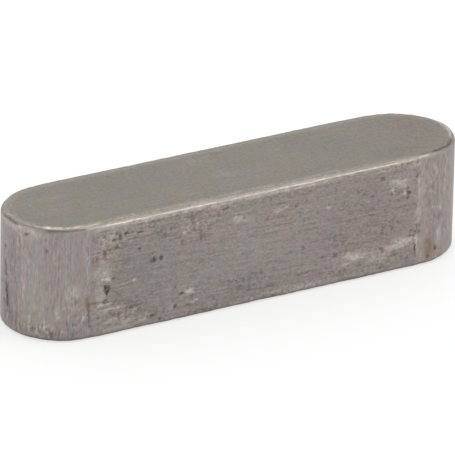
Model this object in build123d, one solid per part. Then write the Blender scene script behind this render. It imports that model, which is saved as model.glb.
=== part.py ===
from build123d import *

"""Parallel key, form A: a square steel bar with both ends milled round.

The key lies in the closed keyway of a shaft and stands up into the open
keyway of the hub, and carries the torque from one to the other through
its two flanks.

Millimetres. The origin is at the centre of the base, +X runs along the
key from end to end, Y across it from flank to flank, and +Z up from the
shaft side to the hub side.
"""

import os

# Driving dimensions. The section and the length are standard sizes.
LENGTH = 25.0  # over the two round ends
WIDTH = 6.0  # from flank to flank, the width of the keyway
HEIGHT = 6.0  # from the base to the top
TOP_CHAMFER = 0.25  # 45 degree edge break all round the top
BASE_CHAMFER = 0.25  # the same round the base, clear of the keyway's corner radius


def key_outline():
    """The key from above: two straight flanks with a full half round at each end."""
    return SlotOverall(LENGTH, WIDTH)


def parallel_key():
    """The bar with its round ends, and the edges of its top and base broken."""
    key = extrude(key_outline(), HEIGHT)
    top_edges = key.faces().sort_by(Axis.Z)[-1].edges()
    key = chamfer(top_edges, TOP_CHAMFER)
    base_edges = key.faces().sort_by(Axis.Z)[0].edges()
    key = chamfer(base_edges, BASE_CHAMFER)
    key.label = "parallel_key"
    return key


def main():
    os.makedirs("parts", exist_ok=True)
    key = parallel_key()
    export_step(key, f"parts/{key.label}.step")
    size = key.bounding_box().size
    print(f"{key.label}: {size.X:.3f} x {size.Y:.3f} x {size.Z:.3f} mm, {key.volume:.2f} mm3")


if __name__ == "__main__":
    main()
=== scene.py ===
"""A parallel key of plain grey key steel, as it comes out of the workshop drawer.

The flanks are drawn, with fine lines along the key, pits and stains. Both ends
are milled round, with upright tool marks and a small step where the cutter met
the flank. The edges are broken and rubbed bright, and carry painted highlights
and painted shade. One operator makes the key round the frame's own box, one
sets up the studio, and a panel lists both.
"""

import math

import bpy
import numpy as np
from bpy.props import FloatProperty, FloatVectorProperty, IntProperty, PointerProperty
from mathutils import Matrix, Vector


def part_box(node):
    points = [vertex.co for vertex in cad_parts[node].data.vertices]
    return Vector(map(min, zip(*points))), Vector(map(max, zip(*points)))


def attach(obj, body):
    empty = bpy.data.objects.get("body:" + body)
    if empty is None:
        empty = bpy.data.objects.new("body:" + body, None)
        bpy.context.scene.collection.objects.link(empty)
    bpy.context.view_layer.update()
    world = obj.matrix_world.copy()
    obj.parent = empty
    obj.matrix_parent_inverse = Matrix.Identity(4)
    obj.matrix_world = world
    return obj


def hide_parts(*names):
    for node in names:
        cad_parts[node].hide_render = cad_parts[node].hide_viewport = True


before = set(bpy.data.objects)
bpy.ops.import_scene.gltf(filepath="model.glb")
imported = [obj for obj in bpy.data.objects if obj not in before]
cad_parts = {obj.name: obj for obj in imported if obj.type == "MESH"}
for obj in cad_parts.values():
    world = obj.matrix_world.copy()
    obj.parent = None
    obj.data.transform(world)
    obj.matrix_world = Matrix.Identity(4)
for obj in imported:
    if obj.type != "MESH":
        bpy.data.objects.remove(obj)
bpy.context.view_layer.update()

bl_info = {
    "name": "Worn parallel key",
    "version": (1, 0, 0),
    "blender": (4, 5, 0),
    "location": "3D View > Sidebar > Key",
    "description": "Makes a worn steel parallel key and a plain studio round it",
    "category": "Add Mesh",
}

NODE = "parallel_key"
BODY = "root"
MM = 0.001

# The key's own box, which the solid model gives. From here on, lengths are in millimetres
# until the mesh is written.
LOW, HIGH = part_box(NODE)
LENGTH, WIDTH, HEIGHT = ((HIGH[i] - LOW[i]) / MM for i in range(3))
HALF_WIDTH = WIDTH / 2
HALF_FLANK = (LENGTH - WIDTH) / 2  # from the middle of a flank to its seam with a milled end
END_ARC = math.pi * HALF_WIDTH  # round one end, from seam to seam
END_TIP = HALF_FLANK + END_ARC / 2  # from the middle of the front flank to the tip of an end
BACK_SEAM = HALF_FLANK + END_ARC  # and on to that end's seam with the back flank
ALL_ROUND = 4 * HALF_FLANK + 2 * END_ARC
CUTTER_OVERRUN = 0.42  # how far the cutter ran on past the seam at the right of the front flank


# --------------------------------------------------------------------------------------
# Sizes and colours that a user would change
# --------------------------------------------------------------------------------------


class KeySizes(bpy.types.PropertyGroup):
    """Sizes of the key's edges and of its worn skin."""

    flank_step: FloatProperty(
        name="Flank step", description="Mesh step along the front flank", default=0.07 * MM,
        min=0.03 * MM, unit="LENGTH")
    end_step: FloatProperty(
        name="End step", description="Mesh step round the milled ends", default=0.075 * MM,
        min=0.03 * MM, unit="LENGTH")
    back_step: FloatProperty(
        name="Back step", description="Mesh step along the back flank", default=0.1 * MM,
        min=0.03 * MM, unit="LENGTH")
    height_step: FloatProperty(
        name="Height step", description="Mesh step up the wall", default=0.075 * MM,
        min=0.03 * MM, unit="LENGTH")
    edge_rows: IntProperty(
        name="Edge rows", description="Mesh rows across a broken edge", default=8, min=2)
    top_rows: IntProperty(
        name="Top rows", description="Mesh rows from the edge of the top to its middle",
        default=22, min=2)
    base_rows: IntProperty(
        name="Base rows", description="Mesh rows from the edge of the base to its middle",
        default=13, min=2)
    top_break: FloatProperty(
        name="Top edge", description="Edge break round the top of the flanks",
        default=0.20 * MM, unit="LENGTH")
    top_end_break: FloatProperty(
        name="Top edge at the ends", description="Edge break round the top of the milled ends",
        default=0.21 * MM, unit="LENGTH")
    base_break: FloatProperty(
        name="Base edge", description="Edge break along the base of the flanks",
        default=0.24 * MM, unit="LENGTH")
    base_end_break: FloatProperty(
        name="Base edge at the ends", description="Edge break round the base of the milled ends",
        default=0.25 * MM, unit="LENGTH")
    end_fullness: FloatProperty(
        name="End fullness", description="How far the milled ends stand outside a half round",
        default=0.05 * MM, unit="LENGTH")
    seam_step: FloatProperty(
        name="Seam step", description="How much deeper than the flank the cutter went at a seam",
        default=0.03 * MM, unit="LENGTH")
    draw_depth: FloatProperty(
        name="Draw lines", description="Depth of the drawn flanks' waves", default=0.005 * MM,
        unit="LENGTH")
    tool_depth: FloatProperty(
        name="Tool marks", description="Depth of the upright marks on the milled ends",
        default=0.008 * MM, unit="LENGTH")
    skin: FloatProperty(
        name="Skin", description="Depth within which all the fine relief lies",
        default=0.012 * MM, unit="LENGTH")


class InMillimetres:
    """A copy of the key's sizes with its lengths in millimetres and its counts as they are."""

    def __init__(self, group):
        for name in KeySizes.__annotations__:
            value = getattr(group, name)
            setattr(self, name, value / MM if isinstance(value, float) else value)


class SteelColours(bpy.types.PropertyGroup):
    """Colours and gloss of the steel."""

    top: FloatVectorProperty(
        name="Top", description="Smooth top and base", subtype="COLOR", size=3,
        default=(0.272, 0.249, 0.220), min=0, max=1)
    flank: FloatVectorProperty(
        name="Flank", description="Drawn flanks", subtype="COLOR", size=3,
        default=(0.307, 0.272, 0.254), min=0, max=1)
    end: FloatVectorProperty(
        name="End", description="Milled ends", subtype="COLOR", size=3,
        default=(0.340, 0.300, 0.282), min=0, max=1)
    # The rubbed colour also paints the sheen along the edges.
    rubbed: FloatVectorProperty(
        name="Rubbed", description="Light rubbed patches and scratches", subtype="COLOR", size=3,
        default=(0.60, 0.545, 0.505), min=0, max=1)
    # The worn colour also paints the highlight along the top edge.
    worn: FloatVectorProperty(
        name="Worn edge", description="Edges worn bright", subtype="COLOR", size=3,
        default=(0.86, 0.77, 0.68), min=0, max=1)
    # This colour also paints the shade on the edges.
    grime: FloatVectorProperty(
        name="Grime", description="Dark pits and dirt", subtype="COLOR", size=3,
        default=(0.095, 0.080, 0.070), min=0, max=1)
    rust: FloatVectorProperty(
        name="Rust", description="Light brown stains", subtype="COLOR", size=3,
        default=(0.245, 0.182, 0.132), min=0, max=1)
    roughness: FloatProperty(
        name="Roughness", description="Roughness of the drawn steel", default=0.46,
        min=0, max=1, subtype="FACTOR")


class StudioSizes(bpy.types.PropertyGroup):
    """The studio: floor, soft light and camera."""

    floor_side: FloatProperty(
        name="Floor", description="Side of the square floor", default=2.0, unit="LENGTH")
    floor_grey: FloatProperty(
        name="Floor grey", description="How light the floor is", default=0.6,
        min=0, max=1, subtype="FACTOR")
    floor_lift: FloatProperty(
        name="Floor lift", description="White added to the floor where it is seen or mirrored",
        default=0.57, min=0, max=1, subtype="FACTOR")
    sky: FloatProperty(
        name="Sky", description="Strength of the white surroundings as a light", default=0.68,
        min=0)
    lamp_power: FloatProperty(
        name="Lamp power", description="Power of the soft lamp at the front right",
        default=0.22, unit="POWER")
    lamp_side: FloatProperty(
        name="Lamp side", description="Side of the square soft lamp", default=0.22,
        unit="LENGTH")
    azimuth: FloatProperty(
        name="Azimuth", description="Camera's turn round the key from straight in front",
        default=math.radians(-30.84), subtype="ANGLE")
    elevation: FloatProperty(
        name="Elevation", description="Camera's height above the floor's plane",
        default=math.radians(23.56), subtype="ANGLE")
    roll: FloatProperty(
        name="Roll", description="Camera's turn about its own axis",
        default=math.radians(1.12), subtype="ANGLE")
    distance: FloatProperty(
        name="Distance", description="From the camera to the key's middle", default=0.3744,
        unit="LENGTH")
    lens: FloatProperty(
        name="Lens", description="Focal length of the camera, in millimetres", default=598.0,
        unit="CAMERA")
    aim_right: FloatProperty(
        name="Aim right", description="How far right of the camera's axis the key's middle lies",
        default=0.000098, unit="LENGTH")
    aim_up: FloatProperty(
        name="Aim up", description="How far above the camera's axis the key's middle lies",
        default=0.000112, unit="LENGTH")


# --------------------------------------------------------------------------------------
# Seeded patterns of chance, from -1 to 1
# --------------------------------------------------------------------------------------

LATTICE = 256  # points each way before a pattern repeats
FAR = 30  # the squared distance from which a bell counts as 0


def eased(t):
    """Turns an even run from 0 to 1 into one that starts and ends gently."""
    return t * t * (3 - 2 * t)


def ramp(value, start, end):
    """0 at start, 1 at end, and smooth between them."""
    return eased(np.clip((value - start) / (end - start), 0, 1))


def band(value, low, high, soft):
    """1 between two values and 0 outside them, with soft sides."""
    return ramp(value, low - soft, low + soft) * ramp(value, high + soft, high - soft)


def bell(squared):
    """1 where a squared distance is 0, falling smoothly to 0."""
    return np.exp(-np.minimum(squared, FAR))


def strongest(shapes):
    """The strongest of several shapes at each point, and 0 where there is none."""
    result = 0.0
    for shape in shapes:
        result = np.maximum(result, shape)
    return result


def noise(u, v, seed):
    """Smooth noise over a plane, with one bump about every two units."""
    table = np.random.default_rng(seed).uniform(-1, 1, (LATTICE, LATTICE))
    u0, v0 = np.floor(u), np.floor(v)
    fu, fv = eased(u - u0), eased(v - v0)
    i, j = u0.astype(int) % LATTICE, v0.astype(int) % LATTICE
    k, l = (i + 1) % LATTICE, (j + 1) % LATTICE
    low = table[i, j] * (1 - fu) + table[k, j] * fu
    high = table[i, l] * (1 - fu) + table[k, l] * fu
    return low * (1 - fv) + high * fv


def pattern(u, v, kind, seed=0):
    """A kind of pattern, with finer layers on top, each twice as fine and half as strong."""
    often_u, often_v, own_seed, layers = kind
    u, v, seed = u * often_u, v * often_v, seed + own_seed
    total = sum(noise(u * 2**n, v * 2**n, seed + n) / 2**n for n in range(layers))
    return total / sum(1 / 2**n for n in range(layers))


# Kinds of pattern: how often they change for each millimetre, each way, then a seed and how
# many layers. The first four run along an edge, so only their first way counts.
EDGE_KNOCKS = (0.9, 1.0, 0, 3)
EDGE_NICKS = (4.3, 1.0, 9, 1)
EDGE_DRIFT, EDGE_JITTER = (2.3, 1.0, 151, 1), (9.0, 1.0, 152, 1)
EDGE_FINE, EDGE_COARSE = (4.0, 16.0, 153, 3), (0.9, 3.0, 155, 3)
DRAWN_WAVES, DRAWN_LINES = (0.35, 2.2, 51, 3), (0.5, 6.5, 55, 1)
TOOL_CUTS, TOOL_CHATTER = (3.0, 0.25, 61, 3), (0.8, 0.5, 66, 1)
FLAT_WAVES = (0.3, 2.5, 91, 3)
FLANK_TEXTURE, END_TEXTURE = (1.7, 7.0, 81, 1), (7.0, 1.0, 82, 1)
PATCH_SHIFT_ALONG, PATCH_SHIFT_UP = (1.3, 1.3, 0, 3), (1.3, 1.3, 3, 3)
CHANCE_LIGHT, CHANCE_WARM, CHANCE_SCRUFF = (0.5, 0.8, 0, 3), (0.4, 0.7, 4, 3), (0.6, 0.8, 8, 3)

# How far the outlines of marks wander, in millimetres, and the patterns that say so.
WOBBLES = (
    (0.05, (6, 6, 71, 1), (6, 6, 73, 1)),
    (0.03, (14, 14, 72, 1), (14, 14, 74, 1)),
)

# Where the chance of each edge and of each patchwork starts.
TOP_EDGE_SEED, BASE_EDGE_SEED = 31, 41
WALL_SEED, HIDDEN_WALL_SEED, TOP_SEED, HIDDEN_FLAT_SEED = 111, 121, 131, 141


# --------------------------------------------------------------------------------------
# Marks on the wall. A place on the wall is (along, up): along runs round the key in
# millimetres from the middle of the front flank, towards the right end, and up is the
# height above the base.
# --------------------------------------------------------------------------------------


def left(degrees_from_tip):
    """How far along the wall the left end's surface is at this turn from its tip to the front."""
    return -HALF_FLANK - HALF_WIDTH * math.radians(90 - degrees_from_tip)


def right(degrees_from_tip):
    """The same on the right end."""
    return HALF_FLANK + HALF_WIDTH * math.radians(90 - degrees_from_tip)


# Dark pits: place, half width, half height, and how dark and deep, from 0 to 1.
PITS = (
    ((-8.1, 5.4), 0.12, 0.09, 0.9),
    ((-7.91, 5.27), 0.09, 0.13, 0.8),
    ((-7.65, 5.31), 0.12, 0.08, 0.8),
    ((-7.94, 5.09), 0.11, 0.09, 0.9),
    ((-8.29, 5.06), 0.1, 0.08, 0.8),
    ((-6.88, 5.23), 0.2, 0.06, 0.6),
    ((-5.6, 5.18), 0.12, 0.06, 0.4),
    ((-8.11, 4.64), 0.16, 0.08, 0.7),
    ((-8.8, 4.45), 0.12, 0.11, 0.7),
    ((-9.24, 4.2), 0.07, 0.1, 0.8),
    ((-6.86, 4.34), 0.07, 0.06, 0.9),
    ((-4.45, 4.16), 0.12, 0.1, 0.4),
    ((-4.52, 4.59), 0.1, 0.16, 0.3),
    ((-7.63, 3.74), 0.1, 0.08, 0.4),
    ((-6.15, 3.9), 0.14, 0.08, 0.4),
    ((-6.07, 3.54), 0.15, 0.15, 0.8),
    ((-5.62, 3.59), 0.1, 0.1, 1.0),
    ((-8.35, 3.01), 0.08, 0.06, 0.8),
    ((-8.02, 2.17), 0.12, 0.1, 0.4),
    ((-8.76, 1.96), 0.09, 0.07, 0.7),
    ((-9.3, 1.92), 0.26, 0.06, 0.7),
    ((-7.33, 1.29), 0.14, 0.06, 0.6),
    ((-8.06, 1.07), 0.4, 0.05, 0.5),
    ((-6.16, 0.56), 0.16, 0.07, 0.8),
    ((-5.88, 0.64), 0.12, 0.07, 0.6),
    ((-5.68, 0.32), 0.08, 0.06, 0.8),
    ((-4.84, 1.79), 0.09, 0.08, 0.6),
    ((-4.42, 1.41), 0.14, 0.07, 0.9),
    ((-3.86, 1.17), 0.12, 0.07, 0.6),
    ((-4.82, 0.79), 0.09, 0.07, 0.9),
    ((-4.04, 0.75), 0.14, 0.06, 0.6),
    ((-3.9, 5.15), 0.09, 0.18, 0.5),
    ((-3.42, 4.2), 0.1, 0.3, 0.4),
    ((-3.35, 2.95), 0.14, 0.1, 0.4),
    ((-3.15, 0.28), 0.12, 0.07, 0.7),
    ((-2.05, 5.45), 0.22, 0.07, 0.8),
    ((-2.4, 5.2), 0.1, 0.1, 0.4),
    ((0.8, 0.22), 0.14, 0.08, 0.7),
    ((2.02, 4.78), 0.07, 0.06, 0.7),
    ((2.6, 4.92), 0.07, 0.06, 0.6),
    ((2.54, 3.85), 0.07, 0.06, 0.7),
    ((2.52, 2.42), 0.09, 0.08, 0.5),
    ((3.88, 4.46), 0.18, 0.05, 0.6),
    ((4.29, 2.4), 0.13, 0.1, 0.4),
    ((4.36, 1.62), 0.16, 0.08, 0.8),
    ((3.64, 1.66), 0.2, 0.05, 0.6),
    ((5.61, 4.79), 0.1, 0.09, 0.7),
    ((6.0, 4.63), 0.1, 0.09, 0.7),
    ((6.44, 4.38), 0.16, 0.07, 0.5),
    ((7.02, 5.21), 0.15, 0.1, 0.9),
    ((7.78, 4.56), 0.11, 0.09, 0.6),
    ((7.58, 4.23), 0.08, 0.1, 0.5),
    ((8.49, 4.37), 0.06, 0.12, 0.7),
    ((8.55, 4.16), 0.15, 0.07, 0.9),
    ((8.52, 3.98), 0.06, 0.14, 0.7),
    ((8.3, 3.99), 0.1, 0.05, 0.5),
    ((9.01, 5.02), 0.06, 0.14, 0.8),
    ((9.2, 5.12), 0.06, 0.1, 0.5),
    ((8.95, 4.55), 0.06, 0.08, 0.5),
    ((7.23, 3.54), 0.06, 0.1, 0.5),
    ((7.13, 2.48), 0.06, 0.12, 0.6),
    ((7.04, 2.26), 0.1, 0.08, 0.5),
    ((7.64, 2.39), 0.1, 0.1, 0.4),
    ((8.99, 1.95), 0.2, 0.06, 0.9),
    ((8.8, 2.1), 0.09, 0.06, 0.8),
    ((7.52, 5.8), 0.1, 0.04, 0.6),
    ((7.77, 5.69), 0.06, 0.06, 0.7),
    ((8.13, 5.82), 0.09, 0.04, 0.5),
    ((8.47, 5.72), 0.07, 0.06, 0.7),
    ((8.74, 5.81), 0.05, 0.05, 0.5),
    ((6.98, 5.66), 0.06, 0.05, 0.5),
    ((9.02, 5.72), 0.06, 0.06, 0.6),
    ((9.1, 2.2), 0.06, 0.12, 0.8),
    ((8.92, 1.72), 0.07, 0.07, 0.7),
    ((9.28, 2.3), 0.05, 0.14, 0.6),
    ((8.67, 1.81), 0.09, 0.08, 0.7),
    ((9.25, 1.9), 0.07, 0.14, 0.6),
    ((7.09, 1.41), 0.08, 0.08, 0.9),
    ((7.79, 0.91), 0.35, 0.14, 0.3),
    ((8.55, 0.66), 0.08, 0.08, 0.7),
    ((8.98, 1.04), 0.05, 0.3, 0.9),
    ((left(26), 5.55), 0.16, 0.1, 0.5),
    ((left(46), 4.88), 0.06, 0.08, 0.8),
    ((left(45), 5.4), 0.08, 0.08, 0.4),
    ((left(70), 2.33), 0.06, 0.08, 0.35),
    ((left(75), 2.09), 0.06, 0.06, 0.4),
    ((left(72), 0.96), 0.07, 0.08, 0.5),
    ((left(1), 0.97), 0.1, 0.08, 0.6),
    ((left(51), 0.42), 0.06, 0.2, 0.6),
    ((right(75), 0.8), 0.11, 0.12, 0.8),
    ((right(72), 2.42), 0.08, 0.14, 0.4),
    ((right(84), 0.43), 0.14, 0.08, 0.6),
)

# Dark lines: two places that each runs between, half width, and how dark.
DARK_LINES = (
    ((-9.3, 1.92), (-7.17, 1.7), 0.04, 0.8),
    ((-8.46, 1.61), (-7.17, 1.66), 0.035, 0.8),
    ((-8.95, 4.52), (-8.35, 4.7), 0.03, 0.6),
    ((-9.2, 1.12), (-8.1, 1.2), 0.03, 0.5),
    ((-2.3, 1.52), (0.6, 1.3), 0.03, 0.7),
    ((-0.6, 1.62), (1.1, 1.56), 0.028, 0.5),
    ((-1.4, 1.84), (0.2, 1.72), 0.025, 0.4),
    ((-4.1, 3.46), (-3.1, 3.46), 0.04, 0.4),
    ((-2.3, 2.7), (-1.2, 2.62), 0.025, 0.4),
    ((0.1, 3.66), (1.05, 3.62), 0.025, 0.5),
    ((1.5, 2.32), (2.1, 2.28), 0.035, 0.5),
    ((8.18, 1.53), (8.55, 1.4), 0.03, 0.9),
    ((5.0, 2.1), (7.4, 1.88), 0.028, 0.4),
    ((4.6, 1.78), (6.7, 1.72), 0.025, 0.4),
    ((-4.95, 3.1), (-2.6, 3.05), 0.025, 0.3),
    ((left(86), 2.05), (left(88), 0.55), 0.05, 1.2),
    ((left(-7), 3.9), (left(-4), 2.6), 0.09, 1.2),
    ((left(-4), 2.6), (left(-1), 1.15), 0.13, 1.3),
    ((left(31), 1.2), (left(31), 0.5), 0.035, 0.5),
    ((left(57), 3.3), (left(57), 2.4), 0.03, 0.4),
    ((left(34), 1.0), (left(34), 0.4), 0.03, 0.5),
    ((left(39), 0.85), (left(39), 0.35), 0.03, 0.6),
    ((left(48), 1.0), (left(48), 0.4), 0.03, 0.5),
    ((left(60), 1.1), (left(60), 0.5), 0.028, 0.5),
    ((left(66), 1.2), (left(66), 0.6), 0.028, 0.4),
    ((left(12), 1.4), (left(13), 0.6), 0.03, 0.5),
    ((left(22), 5.5), (left(23), 4.6), 0.028, 0.4),
    ((left(16), 5.4), (left(18), 4.6), 0.035, 0.5),
    ((left(8), 5.2), (left(10), 4.3), 0.035, 0.4),
    ((right(79), 4.6), (right(78), 3.5), 0.03, 0.5),
    ((right(66), 4.9), (right(66), 3.9), 0.03, 0.4),
)

# Light scratches, given in the same way.
LIGHT_LINES = (
    ((-9.3, 1.66), (-8.3, 1.74), 0.045, 0.7),
    ((-9.1, 1.4), (-7.6, 1.46), 0.04, 0.6),
    ((-8.9, 0.75), (-8.0, 0.85), 0.05, 0.5),
    ((-6.9, 0.42), (-6.4, 0.55), 0.05, 0.7),
    ((-9.0, 3.1), (-8.45, 3.06), 0.06, 0.8),
    ((9.14, 4.9), (9.22, 3.6), 0.1, 0.25),
    ((9.2, 3.7), (9.12, 2.4), 0.1, 0.22),
    ((7.4, 4.95), (8.5, 4.87), 0.06, 0.45),
    ((7.9, 4.6), (8.6, 4.55), 0.05, 0.4),
    ((4.9, 1.42), (5.8, 1.36), 0.06, 0.5),
    ((5.1, 1.2), (6.2, 1.16), 0.06, 0.5),
    ((7.5, 1.38), (8.8, 1.72), 0.055, 0.5),
    ((7.6, 1.25), (8.7, 1.48), 0.045, 0.6),
    ((-7.25, 2.62), (-7.02, 2.75), 0.04, 0.8),
    ((-8.0, 2.66), (-6.9, 2.6), 0.025, 0.3),
    ((-4.0, 0.84), (-3.45, 0.88), 0.04, 0.9),
    ((-6.5, 0.85), (-6.2, 0.66), 0.04, 0.7),
    ((8.3, 4.24), (8.46, 4.12), 0.03, 0.8),
    ((9.06, 1.75), (9.12, 0.8), 0.04, 0.8),
    ((7.55, 4.45), (7.75, 4.2), 0.03, 0.6),
    ((-1.35, 4.95), (-1.05, 4.65), 0.06, 0.5),
    ((0.9, 4.85), (1.1, 4.65), 0.05, 0.5),
    ((6.85, 1.3), (6.75, 1.1), 0.06, 0.6),
    ((left(29), 1.35), (left(29), 0.3), 0.045, 0.5),
    ((left(44), 1.2), (left(44), 0.5), 0.04, 0.45),
    ((left(56.5), 2.0), (left(56.5), 1.2), 0.06, 0.6),
    ((left(14), 5.4), (left(15), 4.7), 0.03, 0.5),
    ((left(19), 5.5), (left(20), 4.9), 0.03, 0.5),
    ((left(52), 0.85), (left(52), 0.6), 0.04, 0.4),
    ((left(37), 0.8), (left(37), 0.35), 0.03, 0.35),
    ((left(72), 2.85), (left(75), 2.55), 0.045, 0.8),
    ((left(76), 2.7), (left(74), 2.35), 0.045, 0.7),
    ((left(70), 2.75), (left(71), 2.45), 0.045, 0.7),
    ((left(80.8), 1.3), (left(80.8), 1.05), 0.045, 0.7),
    ((left(21), 3.4), (left(22), 2.0), 0.03, 0.4),
    ((right(62), 5.55), (right(61), 5.1), 0.04, 0.6),
    ((right(80), 3.15), (right(80), 2.9), 0.06, 0.6),
    ((right(72), 2.0), (right(73), 1.1), 0.05, 0.6),
    ((right(77), 5.3), (right(76), 4.7), 0.05, 0.4),
    ((right(64), 4.9), (right(64), 3.6), 0.04, 0.4),
    ((right(69), 3.3), (right(70), 2.7), 0.05, 0.35),
)

# Light rubbed patches: place, half width, half height, and how light.
RUBS = (
    ((-8.61, 3.03), 0.22, 0.09, 0.6),
    ((-8.9, 3.5), 0.5, 0.6, 0.25),
    ((-9.05, 2.3), 0.3, 0.4, 0.35),
    ((-8.3, 5.2), 0.8, 0.35, 0.2),
    ((-4.05, 1.4), 0.22, 0.14, 0.8),
    ((-5.05, 0.78), 0.14, 0.09, 0.6),
    ((-7.6, 0.45), 1.0, 0.25, 0.25),
    ((-4.33, 4.59), 0.12, 0.12, 0.6),
    ((-1.3, 4.78), 0.28, 0.16, 0.5),
    ((0.98, 4.72), 0.3, 0.1, 0.45),
    ((1.45, 4.8), 0.12, 0.06, 0.5),
    ((3.95, 4.29), 0.16, 0.12, 0.5),
    ((8.08, 4.8), 0.4, 0.2, 0.55),
    ((7.6, 4.52), 0.15, 0.1, 0.5),
    ((8.3, 4.22), 0.22, 0.08, 0.6),
    ((8.3, 1.62), 0.6, 0.16, 0.45),
    ((7.7, 1.34), 0.6, 0.16, 0.42),
    ((5.56, 1.33), 0.6, 0.12, 0.38),
    ((8.9, 5.62), 0.35, 0.12, 0.5),
    ((2.9, 5.66), 0.5, 0.1, 0.5),
    ((-2.6, 5.68), 0.35, 0.08, 0.4),
    ((7.1, 5.6), 0.5, 0.1, 0.4),
    ((5.0, 1.05), 0.4, 0.12, 0.35),
    ((6.8, 1.0), 0.6, 0.18, 0.36),
    ((2.3, 0.35), 2.0, 0.2, 0.2),
    ((left(20), 5.72), 0.14, 0.1, 0.6),
    ((left(26), 5.72), 0.12, 0.08, 0.7),
    ((left(34), 5.72), 0.14, 0.09, 0.8),
    ((left(71), 2.6), 0.35, 0.35, 0.35),
    ((right(70), 1.5), 0.16, 0.55, 0.3),
)

# Brown stains, given in the same way.
STAINS = (
    ((-8.56, 4.62), 0.35, 0.12, 0.6),
    ((-8.81, 4.27), 0.14, 0.1, 0.8),
    ((-9.43, 4.14), 0.07, 0.24, 0.8),
    ((-9.2, 3.95), 0.2, 0.16, 0.5),
    ((-6.15, 3.9), 0.14, 0.1, 0.4),
    ((8.55, 5.8), 0.18, 0.07, 0.6),
    ((0.6, 3.62), 0.4, 0.05, 0.5),
    ((1.0, 3.5), 0.12, 0.08, 0.6),
    ((-1.6, 0.75), 0.1, 0.24, 0.5),
    ((1.0, 0.26), 0.2, 0.08, 0.5),
    ((left(85.4), 1.98), 0.14, 0.34, 1.3),
    ((left(26), 5.5), 0.14, 0.12, 0.5),
    ((left(46), 4.86), 0.08, 0.1, 0.7),
    ((left(63), 1.62), 0.1, 0.14, 0.4),
    ((right(84), 0.92), 0.26, 0.6, 1.1),
    ((right(86), 1.3), 0.1, 0.4, 0.7),
    ((right(79), 0.8), 0.09, 0.45, 0.7),
)

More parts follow.
